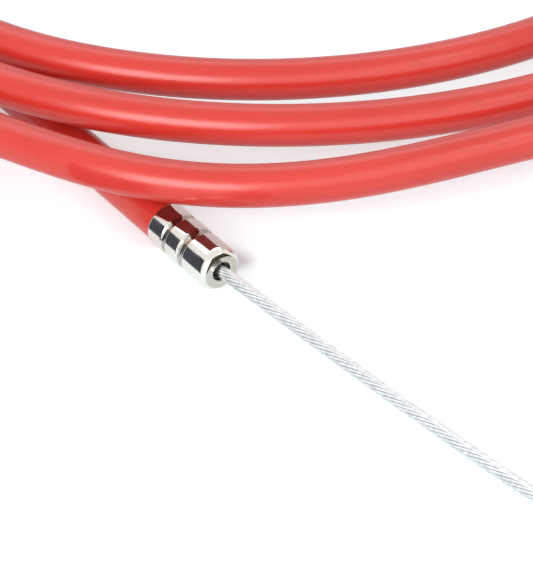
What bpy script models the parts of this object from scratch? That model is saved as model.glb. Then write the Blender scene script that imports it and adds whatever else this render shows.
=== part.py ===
"""Brake cable of an electric scooter, lying coiled on a flat surface.

The housing is a plastic jacket over a close-wound steel armour over a thin liner. It is wound in a flat
spiral that runs inwards. Its caliper end leaves the innermost turn and runs out straight beneath the
other turns, which are lifted over it. A ferrule with two rolled grooves closes each end of the housing.
The inner wire runs through everything, from its cast barrel head to a crimped end cap.

Metres, +Z up. Angles are in degrees and are counted along the coil, so its second turn starts at 360.
"""

import math

import bmesh
import bpy
from mathutils import Matrix, Vector
from mathutils.geometry import interpolate_bezier

# Cable section, from the middle outwards
WIRE_DIAMETER = 0.0015
WIRE_PLAY = 0.0001
LINER_WALL = 0.0002
ARMOUR_WALL = 0.00055
JACKET_WALL = 0.000375
LAYER_GAP = 0.00005
CORE_SIDES = 6
JACKET_SIDES = 10

# Coil: radius of its centre line, the free space between two turns, and the angles it starts and ends at
COIL_RADIUS = 0.0785
TURN_SPACING = 0.0020
COIL_START = 30
COIL_END = 1260
STATION_ANGLE = 14
# The front of each turn is fanned out: middle angle, half width in degrees, distance outwards
FRONT_FAN = (
    (262.5, 31.0, 0.0050),
    (658.5, 53.0, -0.0016),
    (1025.0, 86.0, -0.0064),
)

# Where a turn crosses the end run: gap above it, and the angles that the turn takes to rise and to fall
CROSSING_GAP = 0.00015
RISE_ANGLE = 50
FALL_ANGLE = 130

# End run of the housing at the caliper end: its heading, its distance from the coil's centre, and where
# it is straight, measured from its nearest point to that centre
END_HEADING = -54.6
END_OFFSET = 0.0569
END_STRAIGHT_FROM = 0.008
END_MOUTH_AT = 0.0662
# The end run rises over this length to the height at which its ferrule lies
END_RISE = 0.030
# The housing also leaves the coil in a straight line at the lever end
LEVER_RUN = 0.024

# Ferrules
FERRULE_LENGTH = 0.0110
FERRULE_PROUD = 0.00018
FERRULE_FIT = 0.00005
NOSE_WALL = 0.0018
NOSE_LENGTH = 0.0011
NOSE_FALL = 0.0007
NOSE_PLAY = 0.00042
RIM_ROUND = 0.00015
# Rolled grooves: middle from the rim, width
GROOVES = ((0.0030, 0.0011), (0.0063, 0.0014))
GROOVE_DEPTH = 0.00022
SEAT_GAP = 0.0001
FERRULE_SIDES = 16

# Bare wire: its heading at the caliper end, and its course as distance and share of the drop to rest
BARE_HEADING = -47.3
BARE_COURSE = ((0.004, 0.92), (0.016, 0.66), (0.030, 0.36), (0.044, 0.10), (0.060, 0.0), (0.100, 0.0))
BARE_LENGTH = 0.150
LEVER_WIRE = 0.042

# Barrel head of the wire
BARREL_DIAMETER = 0.0070
BARREL_HEIGHT = 0.0055
BARREL_CHAMFER = 0.0004
BARREL_SIDES = 24
NECK_LENGTH = 0.0016
NECK_WALL = 0.0006
NECK_TAPER = 0.0004
CAST_GAP = 0.00005

# Crimped cap on the wire's other end
CAP_LENGTH = 0.0120
CAP_WALL = 0.0003
CAP_FIT = 0.00005
CAP_SIDES = 12
CAP_CRIMPS = 2
CRIMP_FROM_MOUTH = 0.0030
CRIMP_PITCH = 0.0032
CRIMP_WIDTH = 0.0012
CRIMP_DEPTH = 0.00012


def clear_to_corner(clear, sides):
    """Corner radius of a faceted bore that leaves a clear circle of this radius."""
    return clear / math.cos(math.pi / sides)


WIRE_RADIUS = WIRE_DIAMETER / 2
LINER_RADIUS = clear_to_corner(WIRE_RADIUS + WIRE_PLAY, CORE_SIDES) + LINER_WALL
ARMOUR_RADIUS = clear_to_corner(LINER_RADIUS + LAYER_GAP, CORE_SIDES) + ARMOUR_WALL
JACKET_RADIUS = clear_to_corner(ARMOUR_RADIUS + LAYER_GAP, JACKET_SIDES) + JACKET_WALL
FERRULE_RADIUS = JACKET_RADIUS + FERRULE_PROUD
CAP_RADIUS = clear_to_corner(WIRE_RADIUS + CAP_FIT, CAP_SIDES) + CAP_WALL
TURN_STEP = 2 * JACKET_RADIUS + TURN_SPACING
LIFT = 2 * FERRULE_RADIUS + CROSSING_GAP


def smooth(share):
    """Smooth step from 0 to 1."""
    share = min(max(share, 0.0), 1.0)
    return share * share * (3 - 2 * share)


def heading(angle):
    """Level unit vector that points at this angle."""
    return Vector((math.cos(math.radians(angle)), math.sin(math.radians(angle)), 0.0))


def coil_radius(angle):
    """Distance of the centre line from the coil's centre: a spiral inwards, fanned out at the front."""
    radius = COIL_RADIUS - TURN_STEP * angle / 360
    for middle, half_width, outwards in FRONT_FAN:
        share = min(abs(angle - middle) / half_width, 1.0)
        radius += outwards * math.cos(share * math.pi / 2) ** 2
    return radius


def on_coil(angle, height=0.0):
    """Point of the coil's centre line."""
    point = heading(angle) * coil_radius(angle)
    point.z = height
    return point


def end_point(along, height=0.0):
    """Point on the straight end run, at this distance from its nearest point to the coil's centre."""
    point = heading(END_HEADING - 90) * END_OFFSET + heading(END_HEADING) * along
    point.z = height
    return point


def end_bend():
    """Bend from the coil's last turn into the straight end run."""
    first = on_coil(COIL_END)
    last = end_point(END_STRAIGHT_FROM)
    reach = (last - first).length / 3
    tangent = heading(COIL_END + 90)
    return interpolate_bezier(first, first + tangent * reach, last - heading(END_HEADING) * reach, last, 5)


def crossing_span(turn):
    """First and last angle at which a turn lies over the end run, at its front left."""
    course = end_bend() + [end_point(END_MOUTH_AT)]
    reach = JACKET_RADIUS + FERRULE_RADIUS + CROSSING_GAP
    over = []
    for angle in range(turn * 360 + 180, turn * 360 + 330):
        point = on_coil(angle)
        for start, end in zip(course, course[1:]):
            side = end - start
            share = min(max((point - start).dot(side) / side.length_squared, 0.0), 1.0)
            if (point - start - side * share).length < reach:
                over.append(angle)
                break
    return over[0], over[-1]


def coil_height(angle, spans):
    """Height of the centre line: on the ground, and lifted where the turn crosses the end run."""
    lift = 0.0
    for first, last in spans:
        rising = smooth((angle - first + RISE_ANGLE) / RISE_ANGLE)
        falling = 1 - smooth((angle - last) / FALL_ANGLE)
        lift = max(lift, min(rising, falling))
    return JACKET_RADIUS + LIFT * lift


def coil_stations():
    """Points along the coil, up to where the end bend starts."""
    spans = [crossing_span(turn) for turn in range(COIL_END // 360)]
    steps = round((COIL_END - COIL_START) / STATION_ANGLE)
    points = []
    for step in range(steps):
        angle = COIL_START + (COIL_END - COIL_START) * step / steps
        points.append(on_coil(angle, coil_height(angle, spans)))
    return points


def caliper_stations():
    """Points from the coil's end to the rim of the caliper ferrule."""
    points = [Vector((point.x, point.y, JACKET_RADIUS)) for point in end_bend()]
    rim = END_MOUTH_AT - FERRULE_LENGTH
    points.append(end_point(rim - END_RISE, JACKET_RADIUS))
    points.append(end_point(rim, FERRULE_RADIUS))
    return points


def lever_stations():
    """Points from the rim of the lever ferrule to the coil's start."""
    start = on_coil(COIL_START, JACKET_RADIUS)
    out = heading(COIL_START - 90)
    rim = start + out * LEVER_RUN
    rim.z = FERRULE_RADIUS
    return [rim, start + out * LEVER_RUN / 3]


def smooth_course(keys, pieces):
    """Points of a smooth curve through the keys, each stretch between two keys cut in pieces."""
    points = [keys[0].copy()]
    for index in range(len(keys) - 1):
        before = keys[max(index - 1, 0)]
        start, end = keys[index], keys[index + 1]
        after = keys[min(index + 2, len(keys) - 1)]
        pull = (end - start).length / 3
        leave = start + (end - before).normalized() * pull
        arrive = end - (after - start).normalized() * pull
        points += interpolate_bezier(start, leave, arrive, end, pieces + 1)[1:]
    return points


def bare_wire(mouth):
    """Course of the bare wire from the caliper ferrule's mouth down to the ground and into its cap."""
    out = heading(BARE_HEADING)
    drop = mouth.z - WIRE_RADIUS
    keys = [mouth]
    for along, share in BARE_COURSE:
        key = mouth + out * along
        key.z = WIRE_RADIUS + drop * share
        keys.append(key)
    for along in (BARE_LENGTH - CAP_LENGTH, BARE_LENGTH):
        key = mouth + out * along
        key.z = CAP_RADIUS
        keys.append(key)
    return smooth_course(keys, 1)


def material(name, colour, roughness, metallic):
    """Principled material."""
    made = bpy.data.materials.new(name)
    made.use_nodes = True
    shader = made.node_tree.nodes["Principled BSDF"]
    shader.inputs["Base Color"].default_value = (*colour, 1.0)
    shader.inputs["Roughness"].default_value = roughness
    shader.inputs["Metallic"].default_value = metallic
    made.diffuse_color = (*colour, 1.0)
    return made


def swept(name, points, radius, sides, wall, made_of):
    """Round solid or, with a wall, round tube along a line of points."""
    curve = bpy.data.curves.new(name, "CURVE")
    curve.dimensions = "3D"
    curve.bevel_depth = radius
    curve.bevel_resolution = (sides - 4) // 2
    curve.use_fill_caps = wall is None
    spline = curve.splines.new("POLY")
    spline.points.add(len(points) - 1)
    for control, point in zip(spline.points, points):
        control.co = (*point, 1.0)
    spline.use_smooth = True
    curve.materials.append(made_of)
    piece = bpy.data.objects.new(name, curve)
    bpy.context.collection.objects.link(piece)
    if wall is not None:
        shell = piece.modifiers.new("Wall", "SOLIDIFY")
        shell.thickness = wall
        shell.offset = -1.0
    return piece


def turned(name, profile, sides, made_of):
    """Solid of revolution about the local Z axis, from a closed profile of (radius, height) points."""
    mesh = bpy.data.meshes.new(name)
    shape = bmesh.new()
    corners = [shape.verts.new((radius, 0.0, height)) for radius, height in profile]
    edges = [shape.edges.new(pair) for pair in zip(corners, corners[1:] + corners[:1])]
    bmesh.ops.spin(
        shape,
        geom=corners + edges,
        cent=(0.0, 0.0, 0.0),
        axis=(0.0, 0.0, 1.0),
        angle=2 * math.pi,
        steps=sides,
        use_merge=True,
    )
    bmesh.ops.remove_doubles(shape, verts=shape.verts, dist=0.000001)
    bmesh.ops.recalc_face_normals(shape, faces=shape.faces)
    shape.to_mesh(mesh)
    shape.free()
    mesh.shade_smooth()
    mesh.set_sharp_from_angle(angle=math.radians(40))
    mesh.materials.append(made_of)
    piece = bpy.data.objects.new(name, mesh)
    bpy.context.collection.objects.link(piece)
    return piece


def point_along(piece, place, out):
    """Put a piece's origin at a place, with its local Z axis along a direction."""
    piece.matrix_world = Matrix.Translation(place) @ out.to_track_quat("Z", "Y").to_matrix().to_4x4()


def arc(radius, height, size, start, end, steps):
    """Points of an arc in a turned profile, about a centre at this radius and height."""
    points = []
    for step in range(steps + 1):
        turn = math.radians(start + (end - start) * step / steps)
        points.append((radius + size * math.cos(turn), height + size * math.sin(turn)))
    return points


def groove(radius, middle, width, depth, steps=4):
    """Points of a rolled groove in a turned outline, walked upwards: a hollow with a cosine section."""
    points = []
    for step in range(steps + 1):
        share = step / steps
        hollow = depth * (1 - math.cos(2 * math.pi * share)) / 2
        points.append((radius - hollow, middle + width * (share - 0.5)))
    return points


def nose(radius, length, fall, steps=4):
    """Points of a rounded nose in a turned outline, walked upwards to the mouth: a quarter of an ellipse."""
    points = []
    for step in range(steps + 1):
        turn = math.pi / 2 * step / steps
        points.append((radius - fall * (1 - math.cos(turn)), length * (math.sin(turn) - 1)))
    return points


def ferrule(name, mouth, out, made_of):
    """Crimped ferrule: its nose face is at the mouth, and its stepped bore takes the armour and the wire."""
    seat = clear_to_corner(ARMOUR_RADIUS + FERRULE_FIT, FERRULE_SIDES)
    hole = clear_to_corner(WIRE_RADIUS + NOSE_PLAY, FERRULE_SIDES)
    profile = [(seat, -FERRULE_LENGTH)]
    profile += arc(FERRULE_RADIUS - RIM_ROUND, RIM_ROUND - FERRULE_LENGTH, RIM_ROUND, -90, 0, 2)
    for from_rim, width in GROOVES:
        profile += groove(FERRULE_RADIUS, from_rim - FERRULE_LENGTH, width, GROOVE_DEPTH)
    profile += nose(FERRULE_RADIUS, NOSE_LENGTH, NOSE_FALL)
    profile += [(hole, 0.0), (hole, -NOSE_WALL), (seat, -NOSE_WALL)]
    piece = turned(name, profile, FERRULE_SIDES, made_of)
    point_along(piece, mouth, out)
    return piece


def barrel(name, middle, towards_wire, made_of):
    """Cast barrel head that stands on its end, with a short neck round the wire and a blind socket."""
    radius = BARREL_DIAMETER / 2
    half = BARREL_HEIGHT / 2
    rim = radius - BARREL_CHAMFER
    profile = [(0.0, -half), (rim, -half), (radius, BARREL_CHAMFER - half)]
    profile += [(radius, half - BARREL_CHAMFER), (rim, half), (0.0, half)]
    piece = turned(name, profile, BARREL_SIDES, made_of)
    piece.location = middle
    piece.rotation_euler.z = math.atan2(towards_wire.y, towards_wire.x)

    socket = clear_to_corner(WIRE_RADIUS + CAST_GAP, CAP_SIDES)
    neck_tip = radius + NECK_LENGTH
    neck_profile = [(0.0, 0.0), (socket + NECK_WALL + NECK_TAPER, 0.0), (socket + NECK_WALL, neck_tip)]
    neck_profile.append((0.0, neck_tip))
    neck = turned(name + "_neck", neck_profile, CAP_SIDES, made_of)
    depth = SEAT_GAP + WIRE_RADIUS
    bore_profile = [(0.0, -depth), (socket, -depth), (socket, neck_tip + WIRE_DIAMETER)]
    bore_profile.append((0.0, neck_tip + WIRE_DIAMETER))
    bore = turned(name + "_bore", bore_profile, CAP_SIDES, made_of)
    for tool, operation in ((neck, "UNION"), (bore, "DIFFERENCE")):
        point_along(tool, middle, towards_wire)
        tool.hide_render = True
        tool.display_type = "WIRE"
        change = piece.modifiers.new(tool.name, "BOOLEAN")
        change.operation = operation
        change.object = tool
    return piece, [neck, bore]


def end_cap(name, mouth, out, made_of):
    """Crimped cap, closed at its far end and open at the mouth where the wire goes in."""
    bore = clear_to_corner(WIRE_RADIUS + CAP_FIT, CAP_SIDES)
    depth = CAP_LENGTH - 2 * CAP_WALL
    profile = [(bore, 0.0), (CAP_RADIUS, 0.0)]
    for number in range(CAP_CRIMPS):
        profile += groove(CAP_RADIUS, CRIMP_FROM_MOUTH + CRIMP_PITCH * number, CRIMP_WIDTH, CRIMP_DEPTH)
    end_round = CAP_RADIUS * 0.6
    profile += arc(CAP_RADIUS - end_round, CAP_LENGTH - end_round, end_round, 0, 90, 3)
    profile += [(0.0, CAP_LENGTH), (0.0, depth), (bore, depth)]
    piece = turned(name, profile, CAP_SIDES, made_of)
    point_along(piece, mouth, out)
    return piece


def clear_scene():
    """Remove whatever the scene holds."""
    for old in list(bpy.data.objects):
        bpy.data.objects.remove(old, do_unlink=True)


def stand_at_origin(pieces, cutters):
    """Hang everything on one empty and move it so that the cable's box stands centred on the origin."""
    bpy.context.view_layer.update()
    evaluated = bpy.context.evaluated_depsgraph_get()
    corners = []
    for piece in pieces:
        shown = piece.evaluated_get(evaluated)
        mesh = shown.to_mesh()
        corners += [piece.matrix_world @ vertex.co for vertex in mesh.vertices]
        shown.to_mesh_clear()
    low = Vector([min(corner[axis] for corner in corners) for axis in range(3)])
    high = Vector([max(corner[axis] for corner in corners) for axis in range(3)])
    holder = bpy.data.objects.new("brake_cable", None)
    bpy.context.collection.objects.link(holder)
    for piece in pieces + cutters:
        piece.parent = holder
    holder.location = (-(low.x + high.x) / 2, -(low.y + high.y) / 2, -low.z)


def main():
    """Build the cable."""
    clear_scene()
    red = material("red_pvc", (0.78, 0.06, 0.045), 0.38, 0.0)
    steel = material("galvanised_steel", (0.46, 0.47, 0.48), 0.35, 1.0)
    natural = material("natural_plastic", (0.80, 0.80, 0.76), 0.45, 0.0)
    strand = material("bright_steel_wire", (0.62, 0.63, 0.64), 0.28, 1.0)
    nickel = material("nickel_plate", (0.72, 0.70, 0.67), 0.12, 1.0)
    zinc = material("cast_zinc", (0.55, 0.56, 0.57), 0.42, 1.0)
    foil = material("aluminium", (0.78, 0.79, 0.80), 0.30, 1.0)

    housing = lever_stations() + coil_stations() + caliper_stations()
    seat_length = FERRULE_LENGTH - NOSE_WALL - SEAT_GAP
    caliper_out = heading(END_HEADING)
    caliper_mouth = end_point(END_MOUTH_AT, FERRULE_RADIUS)
    lever_out = heading(COIL_START - 90)
    lever_rim = housing[0]
    lever_mouth = lever_rim + lever_out * FERRULE_LENGTH
    jacket = [lever_rim - lever_out * SEAT_GAP] + housing[1:-1] + [housing[-1] - caliper_out * SEAT_GAP]
    core = [lever_rim + lever_out * seat_length] + housing + [housing[-1] + caliper_out * seat_length]

    barrel_middle = lever_mouth + lever_out * LEVER_WIRE
    barrel_middle.z = BARREL_HEIGHT / 2
    wire = [barrel_middle, lever_mouth] + core + bare_wire(caliper_mouth)
    cap_out = heading(BARE_HEADING)
    cap_mouth = wire[-1] - cap_out * (CAP_LENGTH - 2 * CAP_WALL - SEAT_GAP)

    pieces = [
        swept("outer_jacket", jacket, JACKET_RADIUS, JACKET_SIDES, JACKET_WALL, red),
        swept("spiral_armour", core, ARMOUR_RADIUS, CORE_SIDES, ARMOUR_WALL, steel),
        swept("liner", core, LINER_RADIUS, CORE_SIDES, LINER_WALL, natural),
        swept("inner_wire", wire, WIRE_RADIUS, CORE_SIDES, None, strand),
        ferrule("caliper_ferrule", caliper_mouth, caliper_out, nickel),
        ferrule("lever_ferrule", lever_mouth, lever_out, nickel),
        end_cap("wire_end_cap", cap_mouth, cap_out, foil),
    ]
    head, cutters = barrel("wire_barrel", barrel_middle, -lever_out, zinc)
    pieces.append(head)
    stand_at_origin(pieces, cutters)


main()
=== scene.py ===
"""Looks of a coiled scooter brake cable: red housing, plated ferrules, stranded wire, and a white studio."""

import math

import bpy
import numpy as np
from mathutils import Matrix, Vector


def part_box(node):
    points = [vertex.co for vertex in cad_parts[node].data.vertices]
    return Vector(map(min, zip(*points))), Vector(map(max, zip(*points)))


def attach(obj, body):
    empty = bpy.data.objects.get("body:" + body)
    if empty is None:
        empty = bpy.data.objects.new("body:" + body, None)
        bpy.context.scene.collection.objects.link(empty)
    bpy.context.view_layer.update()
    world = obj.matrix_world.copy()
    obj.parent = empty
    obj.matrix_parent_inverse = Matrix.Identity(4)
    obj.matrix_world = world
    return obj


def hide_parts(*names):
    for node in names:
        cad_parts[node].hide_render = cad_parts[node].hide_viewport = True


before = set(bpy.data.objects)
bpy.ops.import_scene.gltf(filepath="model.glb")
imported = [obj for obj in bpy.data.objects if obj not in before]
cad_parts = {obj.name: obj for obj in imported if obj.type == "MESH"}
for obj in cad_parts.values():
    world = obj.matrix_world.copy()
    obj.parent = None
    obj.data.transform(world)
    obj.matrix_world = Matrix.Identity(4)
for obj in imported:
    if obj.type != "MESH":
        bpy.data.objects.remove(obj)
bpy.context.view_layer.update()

# Sizes of the cable, in metres, from its middle outwards
WIRE_RADIUS = 0.00075
LINER_RADIUS = 0.00118
LINER_WALL = 0.0002
ARMOUR_RADIUS = 0.00197
ARMOUR_WALL = 0.00055
ARMOUR_TURN = 0.0022
JACKET_RADIUS = 0.002501
JACKET_WALL = 0.000375
FERRULE_RADIUS = 0.002681

# Coil. Its angles are in degrees and run on, so its second turn starts at 360. Each front fan is given by its
# middle, half its width, and its distance outwards, and each crossing by its first and last angle
TURN_STEP = 0.007002
LIFT = 0.005512
COIL_RADIUS = 0.0785
COIL_START = 30.0
COIL_END = 1260.0
FRONT_FAN = ((262.5, 31.0, 0.0050), (658.5, 53.0, -0.0016), (1025.0, 86.0, -0.0064))
CROSSINGS = ((252, 264), (597, 614), (927, 963))
RISE_ANGLE = 50.0
FALL_ANGLE = 130.0

# The housing's two ends: heading and distance from the coil's centre of the caliper one, where its straight
# run starts and ends, measured from its nearest point to that centre, its rise, and the run of the lever one
END_HEADING = -54.6
END_OFFSET = 0.0569
END_STRAIGHT_FROM = 0.008
END_MOUTH_AT = 0.0662
END_RISE = 0.030
LEVER_RUN = 0.024

# Ferrules. Each groove is given by its middle, measured from the rim, and its width
FERRULE_LENGTH = 0.0110
FERRULE_BORE = 0.00204
FERRULE_GROOVES = ((0.0030, 0.0011), (0.0063, 0.0014))
GROOVE_DEPTH = 0.00024
RIM_ROUND = 0.00018
NOSE_WALL = 0.0018
NOSE_LENGTH = 0.0011
NOSE_FALL = 0.00074
NOSE_HOLE = 0.00117
NOSE_HOLE_ROUND = 0.00012
SEAT_GAP = 0.0001

# Wire: its strands and the length in which they go round once, its bare course as distance and share of the
# drop left, its bow as size and length of one half, and how far the bare wires start inside the ferrules
STRANDS = 12
LAY = 0.015
BARE_HEADING = -47.3
BARE_COURSE = ((0.004, 0.92), (0.016, 0.66), (0.030, 0.36), (0.044, 0.10), (0.060, 0.0), (0.100, 0.0))
BARE_LENGTH = 0.150
BARE_BOW = (0.00036, 0.052)
LEVER_WIRE = 0.042
WIRE_LAP = 0.002
WIRE_GAP = 0.0001

# Barrel head and its neck, cast round the wire. The dish in each end is given by its radius and its depth
BARREL_DIAMETER = 0.0070
BARREL_HEIGHT = 0.0055
BARREL_RIM_ROUND = 0.0004
BARREL_DISH = (0.0022, 0.00012)
NECK_LENGTH = 0.0016
NECK_SUNK = 0.0009
NECK_RADIUS = 0.00143
NECK_TAPER = 0.00034
NECK_FILLET = 0.0004
NECK_TIP_ROUND = 0.0002
CAST_GAP = 0.00005

# End cap. Each crimp is given by its middle, from the cap's mouth
CAP_LENGTH = 0.0120
CAP_RADIUS = 0.001128
CAP_WALL = 0.0003
CAP_BORE = 0.00083
CAP_MOUTH_ROUND = 0.00008
CAP_END_ROUND = 0.6 * CAP_RADIUS
CAP_CRIMPS = (0.0030, 0.0062)
CRIMP_WIDTH = 0.0012
CRIMP_DEPTH = 0.00012

# Mesh: spacing along the housing, the hidden wire, the bare wires and their course, how close a point keeps a
# flat straight beside a rounding, and the angle over which an edge is sharp
HOUSING_PITCH = 0.0014
HIDDEN_PITCH = 0.0025
BARE_PITCH = 0.00045
COURSE_PITCH = 0.0005
KEEPER = 0.00004
SHARP = math.radians(40)

# Camera: lens in millimetres, distance, tilt downwards, and what it looks at, from the coil's centre. The
# lamps stand at their own distance from the ferrule
LENS = 170.4
CAMERA_DISTANCE = 0.300
CAMERA_TILT = math.radians(37.56)
AIM = (-0.00308, -0.0854)
LAMP_DISTANCE = 0.8


# Routes

def heading(angle):
    """Level unit vectors that point at these angles: cosine, sine, nought."""
    turn = np.radians(angle)
    return np.stack([np.cos(turn), np.sin(turn), np.zeros_like(turn)], axis=-1)


def smooth(share):
    """Smooth step from 0 to 1: three times the square less twice the cube."""
    share = np.clip(share, 0.0, 1.0)
    return share * share * (3 - 2 * share)


def spiral(angle):
    """Points of the coil's centre line. The radius falls by one turn's step each turn, and each front fan
    adds a squared cosine to it. The height is the jacket's radius, and more where a turn crosses the end."""
    radius = COIL_RADIUS - TURN_STEP * angle / 360
    for middle, half_width, outwards in FRONT_FAN:
        share = np.clip(np.abs(angle - middle) / half_width, 0, 1)
        radius = radius + outwards * np.cos(share * np.pi / 2) ** 2
    lift = np.zeros_like(angle)
    for first, last in CROSSINGS:
        rising = smooth((angle - first + RISE_ANGLE) / RISE_ANGLE)
        falling = 1 - smooth((angle - last) / FALL_ANGLE)
        lift = np.maximum(lift, np.minimum(rising, falling))
    points = heading(angle) * radius[:, None]
    points[:, 2] = JACKET_RADIUS + LIFT * lift
    return points


def bezier(first, leave, arrive, last, share):
    """Cubic Bezier curve: the four points weighted by the binomial terms of the share."""
    share = share[:, None]
    rest = 1 - share
    return rest**3 * first + 3 * rest**2 * share * leave + 3 * rest * share**2 * arrive + share**3 * last


def end_point(along):
    """Points on the straight end run at these distances from its nearest point to the coil's centre. It rises
    from the ground to its ferrule's height over its last stretch."""
    along = np.atleast_1d(np.asarray(along, float))
    rim = END_MOUTH_AT - FERRULE_LENGTH
    points = heading(END_HEADING - 90.0) * END_OFFSET + heading(END_HEADING) * along[:, None]
    rise = np.clip((along - rim + END_RISE) / END_RISE, 0, 1)
    points[:, 2] = JACKET_RADIUS + (FERRULE_RADIUS - JACKET_RADIUS) * rise
    return points


def running(line):
    """Running length at each point of the line."""
    return np.concatenate([[0.0], np.cumsum(np.linalg.norm(np.diff(line, axis=0), axis=1))])


def evenly(line, pitch):
    """The line's points again, a pitch apart along it, by straight interpolation on its running length."""
    run = running(line)
    count = max(int(round(run[-1] / pitch)), 2)
    at = np.linspace(0, run[-1], count + 1)
    return np.stack([np.interp(at, run, line[:, axis]) for axis in range(3)], axis=1)


def housing_line():
    """Centre line of the housing between the rims of its two ferrules, before the coil's centre is placed.
    Its lever end rises to its ferrule's height over the outer two thirds of its run."""
    start = spiral(np.array([COIL_START]))[0]
    lever_out = heading(COIL_START - 90.0)
    run = np.linspace(LEVER_RUN, 0, 25)[:-1, None]
    lever = start + lever_out * run
    lever[:, 2] = JACKET_RADIUS + (FERRULE_RADIUS - JACKET_RADIUS) * smooth(1.5 * run[:, 0] / LEVER_RUN - 0.5)
    coil = spiral(np.arange(COIL_START, COIL_END, 1.0))
    first = spiral(np.array([COIL_END]))[0]
    last = end_point(END_STRAIGHT_FROM)[0]
    reach = np.linalg.norm(last - first) / 3
    leave = first + heading(COIL_END + 90.0) * reach
    arrive = last - heading(END_HEADING) * reach
    bend = bezier(first, leave, arrive, last, np.linspace(0, 1, 21))
    straight = end_point(np.linspace(END_STRAIGHT_FROM, END_MOUTH_AT - FERRULE_LENGTH, 47)[1:])
    return np.concatenate([lever, coil, bend, straight])


def smooth_course(keys, pieces):
    """Smooth curve through the keys: a Bezier piece between each two, with handles a third of their distance
    long, along the line between the neighbours."""
    course = [keys[:1]]
    for index in range(len(keys) - 1):
        start, end = keys[index], keys[index + 1]
        before, after = keys[max(index - 1, 0)], keys[min(index + 2, len(keys) - 1)]
        pull = np.linalg.norm(end - start) / 3
        leave = start + (end - before) / np.linalg.norm(end - before) * pull
        arrive = end - (after - start) / np.linalg.norm(after - start) * pull
        course.append(bezier(start, leave, arrive, end, np.linspace(0, 1, pieces + 1))[1:])
    return np.concatenate(course)


def bare_wire(mouth):
    """Course of the bare wire from the caliper ferrule's mouth down to the ground and into its cap. It bows
    to one side and then to the other by the sine of its running length."""
    drop = mouth[2] - WIRE_RADIUS
    along = np.array([step for step, _ in BARE_COURSE] + [BARE_LENGTH - CAP_LENGTH, BARE_LENGTH])
    keys = mouth + heading(BARE_HEADING) * along[:, None]
    keys[:, 2] = [WIRE_RADIUS + drop * share for _, share in BARE_COURSE] + [CAP_RADIUS, CAP_RADIUS]
    course = evenly(smooth_course(np.concatenate([mouth[None], keys]), pieces=8), COURSE_PITCH)
    size, span = BARE_BOW
    bow = size * np.sin(np.pi * np.clip(running(course) / span, 0, 2))
    return course + heading(BARE_HEADING - 90.0) * bow[:, None]


# Surfaces

def surface(name, points, straight, material, closed=False):
    """Mesh over a grid of points, rows along the piece and columns around it. The last column joins the first
    one, and where the piece is closed the last row joins the first one too, else a face closes each end.
    `straight` is each point's place on the straightened cable, kept as an attribute."""
    rows, columns = points.shape[:2]
    row = np.arange(rows if closed else rows - 1)[:, None]
    column = np.arange(columns)[None, :]
    next_row, next_column = (row + 1) % rows, (column + 1) % columns
    corners = [row * columns + column, row * columns + next_column]
    corners += [next_row * columns + next_column, next_row * columns + column]
    faces = np.stack(corners, axis=-1).reshape(-1, 4).tolist()
    if not closed:
        faces += [list(range(columns))[::-1], list(range((rows - 1) * columns, rows * columns))]
    mesh = bpy.data.meshes.new(name)
    mesh.from_pydata(points.reshape(-1, 3), [], faces)
    mesh.shade_smooth()
    layer = mesh.attributes.new("straight", "FLOAT_VECTOR", "POINT")
    layer.data.foreach_set("vector", straight.reshape(-1).astype(np.float32))
    mesh.materials.append(material)
    mesh.validate()
    piece = bpy.data.objects.new(name, mesh)
    bpy.context.scene.collection.objects.link(piece)
    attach(piece, "root")
    return piece


def frames(line):
    """Unit vectors along the line, to its side and above it, at each of its points: the side is level."""
    along = np.gradient(line, axis=0)
    along /= np.linalg.norm(along, axis=1, keepdims=True)
    side = np.cross(along, [0.0, 0.0, 1.0])
    side /= np.linalg.norm(side, axis=1, keepdims=True)
    return along, side, np.cross(side, along)


def carried(line, turn, radius):
    """Grid of points round a line: at each point, a radius at each angle of turn, cosine to the side and sine
    upwards. Returns the grid and its place on the straightened cable."""
    _, side, above = frames(line)
    turn = np.broadcast_to(turn, (len(line), np.shape(turn)[-1]))
    radius = np.broadcast_to(radius, turn.shape)
    flat, tall = (radius * np.cos(turn))[..., None], (radius * np.sin(turn))[..., None]
    points = line[:, None] + side[:, None] * flat + above[:, None] * tall
    length = np.broadcast_to(running(line)[:, None, None], flat.shape)
    return points, np.concatenate([flat, tall, length], axis=-1)


def tube(name, line, radius, wall, sides, material):
    """Round tube along a line: its outer skin from start to end, and its inner skin back again."""
    turn = -np.linspace(0, 2 * np.pi, sides, endpoint=False)
    outer, outer_straight = carried(line, turn, radius)
    inner, inner_straight = carried(line, turn, radius - wall)
    points = np.concatenate([outer, inner[::-1]])
    straight = np.concatenate([outer_straight, inner_straight[::-1]])
    piece = surface(name, points, straight, material, closed=True)
    piece.data.set_sharp_from_angle(angle=SHARP)
    return piece


def turned(name, mouth, out, outline, sides, material, closed=True):
    """Outline of (distance from the axis, height along it), turned round an axis through the mouth. It is a
    closed loop, or else runs from one end of the axis to the other."""
    side = np.cross(out, [0.0, 0.0, 1.0])
    if np.linalg.norm(side) < 0.5:
        side = np.array([1.0, 0.0, 0.0])
    side = side / np.linalg.norm(side)
    above = np.cross(side, out)
    turn = -np.linspace(0, 2 * np.pi, sides, endpoint=False)
    radius, height = outline[:, 0, None], outline[:, 1, None] + 0 * turn
    flat, tall = radius * np.cos(turn), radius * np.sin(turn)
    points = mouth + side * flat[..., None] + above * tall[..., None] + out * height[..., None]
    straight = np.stack([flat, tall, height], axis=-1)
    piece = surface(name, points, straight, material, closed)
    piece.data.set_sharp_from_angle(angle=SHARP)
    return piece


def arc(radius, height, size, start, end, steps):
    """Points of an arc about a centre in an outline, from one angle in degrees to another."""
    turn = np.radians(np.linspace(start, end, steps + 1))
    return np.stack([radius + size * np.cos(turn), height + size * np.sin(turn)], axis=1)


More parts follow.
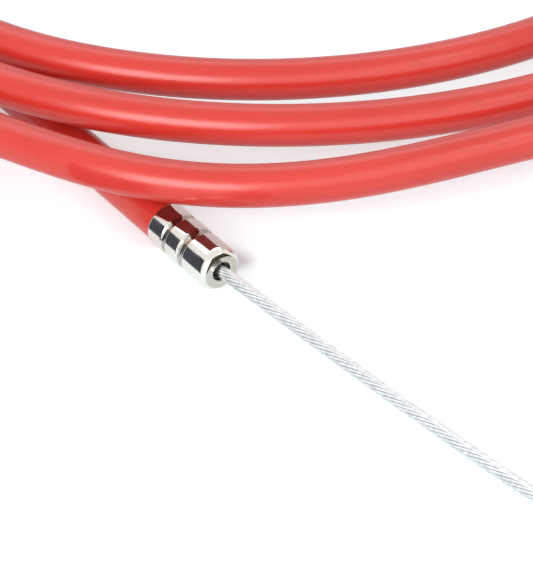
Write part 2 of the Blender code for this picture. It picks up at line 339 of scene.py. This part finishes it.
def groove(radius, middle, width, depth, steps=24):
    """Rolled groove in an outline: the radius less the depth times half of one less the cosine, raised to the
    power 0.7 to widen its floor. A point just outside each edge keeps the outside beside it straight."""
    share = np.linspace(0, 1, steps + 1)
    hollow = depth * ((1 - np.cos(2 * np.pi * share)) / 2) ** 0.7
    rows = np.stack([radius - hollow, middle + width * (share - 0.5)], axis=1)
    edge = width / 2 + KEEPER
    return np.concatenate([[[radius, middle - edge]], rows, [[radius, middle + edge]]])


def nose(radius, length, fall, steps=20):
    """Rounded nose in an outline, up to its face: a quarter of an ellipse, the cosine of the turn across its
    fall and the sine along its length."""
    turn = np.linspace(0, np.pi / 2, steps + 1)
    rows = np.stack([radius - fall * (1 - np.cos(turn)), length * (np.sin(turn) - 1)], axis=1)
    return np.concatenate([[[radius, -length - KEEPER]], rows])


def strand_outline(line, samples):
    """Angles and radii of round wires laid round a core, seen in section: round each wire's centre the radius
    is its distance times the cosine plus the root of the wire's own circle. They turn once per lay. The
    samples of each wire crowd towards the valleys beside it by a sine, just short of them."""
    share = np.sin(((np.arange(samples) + 0.5) / samples - 0.5) * np.pi) / 2 * 0.999
    wire_angle = 2 * np.pi / STRANDS
    offset = share * wire_angle
    centre_radius = WIRE_RADIUS / (1 + math.sin(wire_angle / 2))
    wire_radius = WIRE_RADIUS - centre_radius
    rest = np.maximum(wire_radius**2 - (centre_radius * np.sin(offset)) ** 2, 0)
    radius = np.tile(centre_radius * np.cos(offset) + np.sqrt(rest), STRANDS)
    turn = (np.arange(STRANDS)[:, None] * wire_angle + offset[None]).ravel()
    twist = 2 * np.pi * running(line)[:, None] / LAY
    return twist - turn[None], radius


def stranded(name, line, material, samples=7):
    """Stranded wire along a line. Its two flat ends lie hidden inside other pieces."""
    turn, radius = strand_outline(line, samples)
    points, straight = carried(line, turn, radius)
    return surface(name, points, straight, material)


def ferrule_outline():
    """Section of a ferrule, from its bore round its rim, its two rolled grooves and its nose, and back."""
    parts = [np.array([[FERRULE_BORE, -FERRULE_LENGTH]])]
    parts.append(arc(FERRULE_RADIUS - RIM_ROUND, RIM_ROUND - FERRULE_LENGTH, RIM_ROUND, -90, 0, 6))
    parts.append(np.array([[FERRULE_RADIUS, RIM_ROUND + KEEPER - FERRULE_LENGTH]]))
    for from_rim, width in FERRULE_GROOVES:
        parts.append(groove(FERRULE_RADIUS, from_rim - FERRULE_LENGTH, width, GROOVE_DEPTH))
    parts.append(nose(FERRULE_RADIUS, NOSE_LENGTH, NOSE_FALL))
    parts.append(arc(NOSE_HOLE + NOSE_HOLE_ROUND, -NOSE_HOLE_ROUND, NOSE_HOLE_ROUND, 90, 180, 4))
    parts.append(np.array([[NOSE_HOLE, -NOSE_WALL], [FERRULE_BORE, -NOSE_WALL]]))
    return np.concatenate(parts)


def cap_outline():
    """Section of the crimped cap: open mouth, two crimps, a round end, and its socket. It closes just beside
    the axis."""
    parts = [np.array([[CAP_BORE, 0.0]])]
    parts.append(arc(CAP_RADIUS - CAP_MOUTH_ROUND, CAP_MOUTH_ROUND, CAP_MOUTH_ROUND, -90, 0, 3))
    for middle in CAP_CRIMPS:
        parts.append(groove(CAP_RADIUS, middle, CRIMP_WIDTH, CRIMP_DEPTH))
    parts.append(arc(CAP_RADIUS - CAP_END_ROUND, CAP_LENGTH - CAP_END_ROUND, CAP_END_ROUND, 0, 90, 8))
    axis, floor = 0.00001, CAP_LENGTH - 2 * CAP_WALL
    parts.append(np.array([[axis, CAP_LENGTH], [axis, floor], [CAP_BORE, floor]]))
    return np.concatenate(parts)


def barrel_outline():
    """Section of the barrel head from the middle of its foot to the middle of its top: rounded rims, and a
    shallow dish in each end that falls with the square of the distance from its rim."""
    radius, half, rim = BARREL_DIAMETER / 2, BARREL_HEIGHT / 2, BARREL_RIM_ROUND
    wide, deep = BARREL_DISH
    share = np.linspace(0.004, 1, 12)
    hollow = np.stack([share * wide, deep * (1 - share**2)], axis=1)
    foot = hollow + [0, -half]
    top = hollow[::-1] * [1, -1] + [0, half]
    low_rim = arc(radius - rim, rim - half, rim, -90, 0, 6)
    high_rim = arc(radius - rim, half - rim, rim, 0, 90, 6)
    return np.concatenate([foot, low_rim, high_rim, top])


def neck_outline():
    """Section of the neck round the wire, from inside the head to its rounded tip and back down the bore. It
    tapers evenly, and a fillet at its foot falls off with the sixth power."""
    foot, tip = BARREL_DIAMETER / 2 - NECK_SUNK, BARREL_DIAMETER / 2 + NECK_LENGTH
    bore, rounding = WIRE_RADIUS + CAST_GAP, NECK_TIP_ROUND
    share = np.linspace(0, 1, 12)
    outside = NECK_RADIUS + NECK_TAPER * (1 - share) + NECK_FILLET * (1 - share) ** 6
    outside = np.stack([outside, foot + (tip - rounding - foot) * share], axis=1)
    rounded = arc(NECK_RADIUS - rounding, tip - rounding, rounding, 0, 90, 5)
    return np.concatenate([[[bore, foot]], outside, rounded, [[bore, tip]]])


# Materials

def linear(code):
    """Linear colour from an sRGB hex value."""
    parts = np.array([int(code[place:place + 2], 16) / 255 for place in (1, 3, 5)])
    parts = np.where(parts <= 0.04045, parts / 12.92, ((parts + 0.055) / 1.055) ** 2.4)
    return (*parts.tolist(), 1.0)


def connect(tree, node, links=None, values=None):
    """Give a node its socket values and the outputs that its sockets take."""
    for socket, value in (values or {}).items():
        node.inputs[socket].default_value = value
    for socket, (source, output) in (links or {}).items():
        tree.links.new(source.outputs[output], node.inputs[socket])


def add(tree, kind, links=None, values=None, stops=(), **settings):
    """Add a node to a tree, with its settings, its socket values and the outputs that its sockets take, and
    with the stops of its ramp, each a position and a colour."""
    node = tree.nodes.new("ShaderNode" + kind)
    for name, value in settings.items():
        setattr(node, name, value)
    for index, (position, code) in enumerate(stops):
        node.color_ramp.elements[index].position = position
        node.color_ramp.elements[index].color = linear(code)
    connect(tree, node, links, values)
    return node


def finish(name):
    """New material with a Principled shader, and its tree and shader."""
    made = bpy.data.materials.new(name)
    made.use_nodes = True
    return made, made.node_tree, made.node_tree.nodes["Principled BSDF"]


def extruded_pvc():
    """Soft PVC drawn over the armour by extrusion: a satin red. Faint die lines run along it, an orange peel
    breaks up its gleam, and handling has left it a little duller in places."""
    made, tree, shader = finish("extruded_red_pvc")
    place = add(tree, "Attribute", attribute_name="straight")
    # Cloudy pigment in patches of some 4 by 25 mm
    patches = add(tree, "Mapping", {"Vector": (place, "Vector")}, {"Scale": (250, 250, 40)})
    cloud = add(tree, "TexNoise", {"Vector": (patches, 0)}, {"Scale": 1.0, "Detail": 3.0, "Roughness": 0.6})
    shade = add(tree, "ValToRGB", {"Fac": (cloud, "Fac")}, stops=((0.3, "#CF3429"), (0.7, "#D93B30")))
    # Die lines 0.5 mm apart and 60 mm long, and an orange peel of 0.9 by 2.4 mm
    drawn = add(tree, "Mapping", {"Vector": (place, "Vector")}, {"Scale": (2000, 2000, 16)})
    lines = add(tree, "TexNoise", {"Vector": (drawn, 0)}, {"Scale": 1.0, "Detail": 2.0, "Roughness": 0.5})
    flowed = add(tree, "Mapping", {"Vector": (place, "Vector")}, {"Scale": (1100, 1100, 420)})
    peel = add(tree, "TexNoise", {"Vector": (flowed, 0)}, {"Scale": 1.0, "Detail": 3.0, "Roughness": 0.6})
    waves = add(tree, "Bump", {"Height": (peel, "Fac")}, {"Strength": 1.0, "Distance": 0.000026})
    relief = add(tree, "Bump", {"Height": (lines, "Fac"), "Normal": (waves, 0)},
                 {"Strength": 1.0, "Distance": 0.000004})
    # Duller where it was handled, in streaks of some 1.5 by 180 mm
    worn = add(tree, "TexNoise", {"Vector": (drawn, 0)}, {"Scale": 0.35, "Detail": 4.0, "Roughness": 0.7})
    gloss = add(tree, "MapRange", {"Value": (worn, "Fac")},
                {"From Min": 0.3, "From Max": 0.7, "To Min": 0.25, "To Max": 0.34})
    connect(tree, shader, {"Base Color": (shade, "Color"), "Normal": (relief, 0), "Roughness": (gloss, 0)},
            {"IOR": 1.57})
    return made


def nickel_plate():
    """Brass turned on a lathe and plated with bright nickel: a warm mirror. The turning marks run round it,
    its grooves are darker and browner in spots, its cut face is darker as painted shade, and touch has dulled
    it in soft patches."""
    made, tree, shader = finish("bright_nickel_plate")
    place = add(tree, "Attribute", attribute_name="straight")
    parts = add(tree, "SeparateXYZ", {0: (place, "Vector")})
    level = add(tree, "CombineXYZ", {"X": (parts, "X"), "Y": (parts, "Y")})
    radius = add(tree, "VectorMath", {0: (level, 0)}, operation="LENGTH")
    # Darker and browner in spots of 0.4 mm, where the surface is over 0.1 mm below the outside and isn't the
    # nose
    low = add(tree, "MapRange", {"Value": (radius, "Value")},
              {"From Min": 0.00252, "From Max": 0.00262, "To Min": 1.0, "To Max": 0.0})
    behind = add(tree, "Math", {0: (parts, "Z")}, {1: -NOSE_LENGTH}, operation="LESS_THAN")
    groove_spots = add(tree, "TexNoise", {"Vector": (place, "Vector")}, {"Scale": 2600.0, "Detail": 3.0})
    share = add(tree, "Math", {0: (low, 0), 1: (behind, 0)}, operation="MULTIPLY")
    patchy = add(tree, "Math", {0: (share, 0), 1: (groove_spots, "Fac")}, operation="MULTIPLY")
    groove_darkened = add(tree, "Mix", {0: (patchy, 0)}, {6: linear("#EAE5DD"), 7: linear("#6E6250")},
                 data_type="RGBA")
    # Painted shade: the cut face darker and greyer, for the shaded floor that it mirrors
    face = add(tree, "MapRange", {"Value": (parts, "Z")},
               {"From Min": -0.00006, "From Max": -0.00002, "To Max": 0.8})
    colour = add(tree, "Mix", {0: (face, 0), 6: (groove_darkened, 2)}, {7: linear("#CBC4B9")}, data_type="RGBA")
    # Turning marks, finer in truth and drawn 0.15 mm apart so that they show
    ring = add(tree, "CombineXYZ", {"X": (radius, "Value"), "Z": (parts, "Z")})
    marks = add(tree, "TexNoise", {"Vector": (ring, 0)}, {"Scale": 7000.0, "Detail": 2.0})
    relief = add(tree, "Bump", {"Height": (marks, "Fac")}, {"Strength": 1.0, "Distance": 0.0000012})
    # Dulled by touch in patches of some 2 mm
    smear = add(tree, "TexNoise", {"Vector": (place, "Vector")},
                {"Scale": 420.0, "Detail": 3.0, "Roughness": 0.6})
    gloss = add(tree, "MapRange", {"Value": (smear, "Fac")},
                {"From Min": 0.35, "From Max": 0.7, "To Min": 0.11, "To Max": 0.19})
    connect(tree, shader, {"Base Color": (colour, 2), "Normal": (relief, 0), "Roughness": (gloss, 0)},
            {"Metallic": 1.0})
    return made


def drawn_wire():
    """Zinc-coated steel wire, cold drawn and stranded: bright, with drawing lines along it, a dull bloom in
    spots, and painted shade in the valleys between its wires."""
    made, tree, shader = finish("drawn_galvanised_wire")
    place = add(tree, "Attribute", attribute_name="straight")
    parts = add(tree, "SeparateXYZ", {0: (place, "Vector")})
    level = add(tree, "CombineXYZ", {"X": (parts, "X"), "Y": (parts, "Y")})
    radius = add(tree, "VectorMath", {0: (level, 0)}, operation="LENGTH")
    # Painted shade in the valleys, which lie over 0.06 mm below the outside
    crown = add(tree, "MapRange", {"Value": (radius, "Value")},
                {"From Min": 0.00059, "From Max": 0.00069, "To Min": 0.0, "To Max": 1.0})
    # A dull bloom in spots of 0.6 mm
    bloom = add(tree, "TexNoise", {"Vector": (place, "Vector")},
                {"Scale": 1800.0, "Detail": 3.0, "Roughness": 0.6})
    zinc = add(tree, "ValToRGB", {"Fac": (bloom, "Fac")}, stops=((0.35, "#D2D4D6"), (0.65, "#EEEFF0")))
    colour = add(tree, "Mix", {0: (crown, 0), 7: (zinc, "Color")}, {6: linear("#6A6B6E")}, data_type="RGBA")
    # Drawing lines 0.06 mm apart and 3 mm long
    drawn = add(tree, "Mapping", {"Vector": (place, "Vector")}, {"Scale": (16000, 16000, 300)})
    lines = add(tree, "TexNoise", {"Vector": (drawn, 0)}, {"Scale": 1.0, "Detail": 2.0})
    relief = add(tree, "Bump", {"Height": (lines, "Fac")}, {"Strength": 1.0, "Distance": 0.000002})
    gloss = add(tree, "MapRange", {"Value": (bloom, "Fac")},
                {"From Min": 0.3, "From Max": 0.7, "To Min": 0.36, "To Max": 0.24})
    connect(tree, shader, {"Base Color": (colour, 2), "Normal": (relief, 0), "Roughness": (gloss, 0)},
            {"Metallic": 1.0})
    return made


def rolled_armour():
    """Flat steel wire, rolled and wound close: dull bright turns with a dark seam between each two."""
    made, tree, shader = finish("rolled_armour_steel")
    place = add(tree, "Attribute", attribute_name="straight")
    parts = add(tree, "SeparateXYZ", {0: (place, "Vector")})
    turn = add(tree, "Math", {0: (parts, "Y"), 1: (parts, "X")}, operation="ARCTAN2")
    # The wraps wind on by one width each turn
    advance = add(tree, "Math", {0: (turn, 0)}, {1: ARMOUR_TURN / (2 * math.pi)}, operation="MULTIPLY")
    along = add(tree, "Math", {0: (parts, "Z"), 1: (advance, 0)}, operation="ADD")
    swing = add(tree, "Math", {0: (along, 0)}, {1: ARMOUR_TURN / 2}, operation="PINGPONG")
    seam = add(tree, "MapRange", {"Value": (swing, 0)}, {"From Min": 0.0, "From Max": 0.00012})
    colour = add(tree, "Mix", {0: (seam, 0)}, {6: linear("#3A3B3C"), 7: linear("#B5B8BA")}, data_type="RGBA")
    relief = add(tree, "Bump", {"Height": (seam, 0)}, {"Strength": 1.0, "Distance": 0.00008})
    # Rolling scale in spots of 1 mm
    scale = add(tree, "TexNoise", {"Vector": (place, "Vector")}, {"Scale": 900.0, "Detail": 4.0})
    gloss = add(tree, "MapRange", {"Value": (scale, "Fac")}, {"To Min": 0.28, "To Max": 0.45})
    connect(tree, shader, {"Base Color": (colour, 2), "Normal": (relief, 0), "Roughness": (gloss, 0)},
            {"Metallic": 1.0})
    return made


def natural_polyethylene():
    """Polyethylene liner, extruded without pigment: milky and waxy, with faint flow clouds."""
    made, tree, shader = finish("natural_polyethylene")
    place = add(tree, "Attribute", attribute_name="straight")
    # Flow clouds of some 2 mm
    cloud = add(tree, "TexNoise", {"Vector": (place, "Vector")}, {"Scale": 500.0, "Detail": 3.0})
    colour = add(tree, "Mix", {0: (cloud, "Fac")}, {6: linear("#DCDAD0"), 7: linear("#EFEEE8")},
                 data_type="RGBA")
    gloss = add(tree, "MapRange", {"Value": (cloud, "Fac")}, {"To Min": 0.38, "To Max": 0.5})
    connect(tree, shader, {"Base Color": (colour, 2), "Roughness": (gloss, 0)}, {"IOR": 1.51})
    return made


def cast_zinc():
    """Zinc alloy, die cast round the wire's end: dull grey, with a fine cast grain and cold flow marks."""
    made, tree, shader = finish("cast_zinc")
    place = add(tree, "Attribute", attribute_name="straight")
    # Flow marks of some 1.5 mm
    flow = add(tree, "TexNoise", {"Vector": (place, "Vector")},
               {"Scale": 700.0, "Detail": 5.0, "Roughness": 0.65, "Distortion": 0.5})
    colour = add(tree, "ValToRGB", {"Fac": (flow, "Fac")}, stops=((0.35, "#A3A4A6"), (0.65, "#B9BABC")))
    # Cast grain of 0.15 mm
    grain = add(tree, "TexNoise", {"Vector": (place, "Vector")}, {"Scale": 6500.0, "Detail": 2.0})
    relief = add(tree, "Bump", {"Height": (grain, "Fac")}, {"Strength": 1.0, "Distance": 0.000012})
    gloss = add(tree, "MapRange", {"Value": (flow, "Fac")},
                {"From Min": 0.3, "From Max": 0.7, "To Min": 0.5, "To Max": 0.34})
    connect(tree, shader, {"Base Color": (colour, "Color"), "Normal": (relief, 0), "Roughness": (gloss, 0)},
            {"Metallic": 1.0})
    return made


def drawn_aluminium():
    """Aluminium cap, deep drawn and crimped: light and bright, with fine drawing lines along it."""
    made, tree, shader = finish("drawn_aluminium")
    place = add(tree, "Attribute", attribute_name="straight")
    # Drawing lines 0.11 mm apart and 3 mm long
    drawn = add(tree, "Mapping", {"Vector": (place, "Vector")}, {"Scale": (9000, 9000, 350)})
    lines = add(tree, "TexNoise", {"Vector": (drawn, 0)}, {"Scale": 1.0, "Detail": 3.0})
    colour = add(tree, "Mix", {0: (lines, "Fac")}, {6: linear("#C6C8CA"), 7: linear("#E2E3E4")},
                 data_type="RGBA")
    relief = add(tree, "Bump", {"Height": (lines, "Fac")}, {"Strength": 1.0, "Distance": 0.000004})
    gloss = add(tree, "MapRange", {"Value": (lines, "Fac")}, {"To Min": 0.22, "To Max": 0.38})
    connect(tree, shader, {"Base Color": (colour, 2), "Normal": (relief, 0), "Roughness": (gloss, 0)},
            {"Metallic": 1.0})
    return made


# The cable

red_pvc = extruded_pvc()
nickel = nickel_plate()
steel = drawn_wire()
armour_steel = rolled_armour()
natural_plastic = natural_polyethylene()
zinc = cast_zinc()
aluminium = drawn_aluminium()

# The coil's centre, from the place of the caliper ferrule's solid
ferrule_middle = END_MOUTH_AT - FERRULE_LENGTH / 2
low, high = (np.array(corner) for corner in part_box("caliper_ferrule"))
centre = (low + high) / 2 - (heading(END_HEADING - 90.0) * END_OFFSET + heading(END_HEADING) * ferrule_middle)
centre[2] = 0.0

# The housing's line, and that of what lies inside it, which ends against the walls in its ferrules' noses
housing = evenly(centre + housing_line(), HOUSING_PITCH)
lever_out, caliper_out = heading(COIL_START - 90.0), heading(END_HEADING)
lever_rim, caliper_rim = housing[0], housing[-1]
lever_mouth = lever_rim + lever_out * FERRULE_LENGTH
caliper_mouth = caliper_rim + caliper_out * FERRULE_LENGTH
seat = FERRULE_LENGTH - NOSE_WALL - SEAT_GAP
core = np.concatenate([[lever_rim + lever_out * seat], housing, [caliper_rim + caliper_out * seat]])

jacket = tube("housing_jacket", housing, JACKET_RADIUS, JACKET_WALL, sides=40, material=red_pvc)
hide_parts("outer_jacket")

armour = tube("housing_armour", core[::2], ARMOUR_RADIUS, ARMOUR_WALL, sides=16, material=armour_steel)
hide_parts("spiral_armour")

liner = tube("housing_liner", core[::2], LINER_RADIUS, LINER_WALL, sides=12, material=natural_plastic)
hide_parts("liner")

for name, mouth, out in (("caliper", caliper_mouth, caliper_out), ("lever", lever_mouth, lever_out)):
    shell = turned(name + "_ferrule_shell", mouth, out, ferrule_outline(), sides=96, material=nickel)
    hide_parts(name + "_ferrule")

# The wire: plain inside the housing, and stranded where it is bare
lap = WIRE_LAP - WIRE_GAP
inside = [[lever_mouth - lever_out * lap], core[2:-2], [caliper_mouth - caliper_out * lap]]
inside = evenly(np.concatenate(inside), HIDDEN_PITCH)
hidden_wire = tube("wire_in_housing", inside, WIRE_RADIUS, WIRE_RADIUS * 0.98, sides=12, material=steel)
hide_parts("inner_wire")

bare_line = [[caliper_mouth - caliper_out * WIRE_LAP], bare_wire(caliper_mouth)]
bare_line = evenly(np.concatenate(bare_line), BARE_PITCH)
caliper_wire = stranded("caliper_wire", bare_line, steel)

cap_out = heading(BARE_HEADING)
cap_mouth = bare_line[-1] - cap_out * (CAP_LENGTH - 2 * CAP_WALL - SEAT_GAP)
cap = turned("wire_cap", cap_mouth, cap_out, cap_outline(), sides=48, material=aluminium)
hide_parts("wire_end_cap")

barrel_middle = lever_mouth + lever_out * LEVER_WIRE
barrel_middle[2] = BARREL_HEIGHT / 2
lever_line = evenly(np.stack([lever_mouth - lever_out * WIRE_LAP, lever_mouth, barrel_middle]), BARE_PITCH)
lever_wire = stranded("lever_wire", lever_line, steel)

upright = np.array([0.0, 0.0, 1.0])
barrel_head = turned("barrel_head", barrel_middle, upright, barrel_outline(), sides=96, material=zinc,
                     closed=False)
barrel_neck = turned("barrel_neck", barrel_middle, -lever_out, neck_outline(), sides=48, material=zinc)
for piece in (barrel_head, barrel_neck):
    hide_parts("wire_barrel")


# Studio

def background_rays(tree):
    """One where a ray comes from the camera, a mirror or glass, which all see the background: else nought."""
    rays = add(tree, "LightPath")
    mirrored = add(tree, "Math", {0: (rays, "Is Camera Ray"), 1: (rays, "Is Glossy Ray")}, operation="ADD")
    return add(tree, "Math", {0: (mirrored, 0), 1: (rays, "Is Transmission Ray")}, operation="ADD",
               use_clamp=True)


def floor_material():
    """White paper: matt and faintly cool. Its own shading keeps the cable's shadow. The camera sees a little
    light added to it, so that the open floor is white, and mirrors see less of that."""
    made, tree, shader = finish("white_paper_floor")
    rays = add(tree, "LightPath")
    mirrored = add(tree, "Math", {0: (rays, "Is Glossy Ray")}, {1: 0.3}, operation="MULTIPLY")
    added = add(tree, "Math", {0: (rays, "Is Camera Ray"), 2: (mirrored, 0)}, {1: 0.43},
                operation="MULTIPLY_ADD")
    connect(tree, shader, {"Emission Strength": (added, 0)},
            {"Base Color": linear("#DEEDF2"), "Roughness": 0.8, "Specular IOR Level": 0.2,
             "Emission Color": (1, 1, 1, 1)})
    return made


def panel(name, edge, other_edge, material):
    """Stage piece between two lines of points. Its front faces along the cross product of the step to the
    other line and the run of the lines."""
    count = len(edge)
    corners = [tuple(map(float, corner)) for corner in (*edge, *other_edge)]
    faces = [(step, count + step, count + step + 1, step + 1) for step in range(count - 1)]
    mesh = bpy.data.meshes.new(name)
    mesh.from_pydata(corners, [], faces)
    mesh.materials.append(material)
    piece = bpy.data.objects.new(name, mesh)
    bpy.context.scene.collection.objects.link(piece)
    return piece


def painted_light_card(name, edge, other_edge, colour):
    """Painted reflection: an evenly coloured card that only mirrors see, and only from its front, so that it
    neither lights nor shades the cable."""
    made, tree, shader = finish(name)
    connect(tree, shader, values={"Base Color": (0, 0, 0, 1), "Specular IOR Level": 0.0,
                                  "Emission Color": linear(colour), "Emission Strength": 1.0})
    side, clear = add(tree, "NewGeometry"), add(tree, "BsdfTransparent")
    sided = add(tree, "MixShader", {0: (side, "Backfacing"), 1: (shader, 0), 2: (clear, 0)})
    connect(tree, tree.nodes["Material Output"], {"Surface": (sided, 0)})
    card = panel(name, edge, other_edge, made)
    card.visible_camera = False
    card.visible_diffuse = False
    card.visible_transmission = False
    card.visible_shadow = False
    return card


def round_ferrule(*places):
    """Points round the caliper ferrule: distance along it from its mouth, angle round its axis from the left,
    in degrees, and distance from its axis."""
    points = []
    for along, angle, distance in places:
        turn = math.radians(angle)
        away = left * math.cos(turn) + [0, 0, math.sin(turn)]
        points.append(caliper_mouth + caliper_out * along + distance * away)
    return points


def before_nose(*places):
    """Points 3.6 mm before the caliper ferrule's mouth: distance to its axis's left, and height over it."""
    return [caliper_mouth + caliper_out * 0.0036 + left * aside + [0, 0, height] for aside, height in places]


def beside_nose(*places):
    """Points 1.9 mm below the caliper ferrule's axis: distance along it from its mouth, and to its right."""
    return [caliper_mouth + caliper_out * along - left * aside - [0, 0, 0.0019] for along, aside in places]


def softbox(name, azimuth, elevation, wide, tall, radiance):
    """Area lamp seen from the ferrule under these angles, in degrees: round from +X, above the floor, and as
    wide and tall as it looks. Its power is four times its area at radiance 1, the white of the background."""
    a, e = math.radians(azimuth), math.radians(elevation)
    away = Vector((math.cos(a) * math.cos(e), math.sin(a) * math.cos(e), math.sin(e)))
    lamp = bpy.data.lights.new(name, "AREA")
    lamp.shape = "RECTANGLE"
    lamp.size = 2 * LAMP_DISTANCE * math.tan(math.radians(wide / 2))
    lamp.size_y = 2 * LAMP_DISTANCE * math.tan(math.radians(tall / 2))
    lamp.energy = 4 * lamp.size * lamp.size_y * radiance
    holder = bpy.data.objects.new(name, lamp)
    holder.location = Vector(caliper_mouth) + away * LAMP_DISTANCE
    holder.rotation_euler = away.to_track_quat("Z", "Y").to_euler()
    bpy.context.scene.collection.objects.link(holder)
    return holder


left = heading(END_HEADING - 90.0)

panel("floor", [(-3, 3, 0), (3, 3, 0)], [(-3, -3, 0), (3, -3, 0)], floor_material())

# Painted reflections, cards that only the plating mirrors: a dark one on the ferrule's left, and a small one
# for its nose
painted_light_card("left_dark_reflection_card", round_ferrule((-0.0192, -17, 0.0095), (-0.0070, -17, 0.0095)),
     round_ferrule((-0.0196, 39, 0.0120), (-0.0080, 39, 0.0120)), "#474B54")
painted_light_card("nose_left_dark_reflection_card", round_ferrule((-0.0037, -1, 0.0044), (-0.0006, -1, 0.0044)),
     round_ferrule((-0.0037, 44, 0.0047), (-0.0011, 44, 0.0047)), "#474B54")

# Close over its top a dark red one, a painted reflection of the shaded housing above, and a pale one on its
# right, a painted reflection of the floor
painted_light_card("shaded_housing_reflection_card", round_ferrule((-0.0113, 50.7, 0.00308), (-0.0026, 80.1, 0.00462)),
     round_ferrule((-0.0113, 101.2, 0.00299), (-0.0026, 114.2, 0.00436)), "#7A2522")
painted_light_card("right_pale_reflection_card", round_ferrule((-0.0113, 101.2, 0.00299), (-0.0008, 114.2, 0.00436)),
     round_ferrule((-0.0113, 131.7, 0.00284), (-0.0008, 153.6, 0.00383)), "#DCC8CC")

# A dark one before its nose, with a slanting foot: a painted dark reflection on the nose and the wire beside
# it
painted_light_card("nose_dark_reflection_card", before_nose((0.0030, -0.0016), (-0.0048, -0.0009)),
     before_nose((0.0030, 0.0068), (-0.0048, 0.0068)), "#4A4234")

# A card low beside the nose that mirrors don't see casts a painted shadow: it keeps light off the floor
# there, the soft shadow to the right of the nose, and its dull pink glow tints that shadow
painted_shadow_card = painted_light_card("painted_shadow_card", beside_nose((-0.0066, 0.0033), (-0.0017, 0.0033)),
                   beside_nose((-0.0064, 0.0055), (-0.0019, 0.0060)), "#66404A")
painted_shadow_card.visible_diffuse = True
painted_shadow_card.visible_glossy = False
painted_shadow_card.visible_shadow = True

softbox("front_softbox", 250, 28, 38, 31, 4.95)
softbox("right_softbox", 312, 32, 50, 40, 0.9)
softbox("back_softbox", 104, 50, 60, 24, 1.0)
softbox("right_strip", 348, 48, 12, 6, 4.0)
softbox("top_softbox", 90, 85, 80, 80, 0.25).visible_glossy = False

# A white background, and less light from it on the cable
world = bpy.data.worlds.new("white_room")
bpy.context.scene.world = world
world.use_nodes = True
sky = world.node_tree.nodes["Background"]
level = add(world.node_tree, "MapRange", {"Value": (background_rays(world.node_tree), 0)},
            {"To Min": 0.30, "To Max": 1.0})
connect(world.node_tree, sky, {"Strength": (level, 0)}, {"Color": (1, 1, 1, 1)})

lens = bpy.data.cameras.new("camera")
lens.lens = LENS
lens.sensor_width = 36.0
lens.clip_start = 0.01
lens.clip_end = 20.0
camera = bpy.data.objects.new("camera", lens)
aim = Vector((centre[0] + AIM[0], centre[1] + AIM[1], 0.0))
camera.location = aim + Vector((0.0, -math.cos(CAMERA_TILT), math.sin(CAMERA_TILT))) * CAMERA_DISTANCE
camera.rotation_euler = (math.radians(90) - CAMERA_TILT, 0.0, 0.0)
bpy.context.scene.collection.objects.link(camera)
bpy.context.scene.camera = camera

bpy.context.scene.view_settings.view_transform = "Standard"
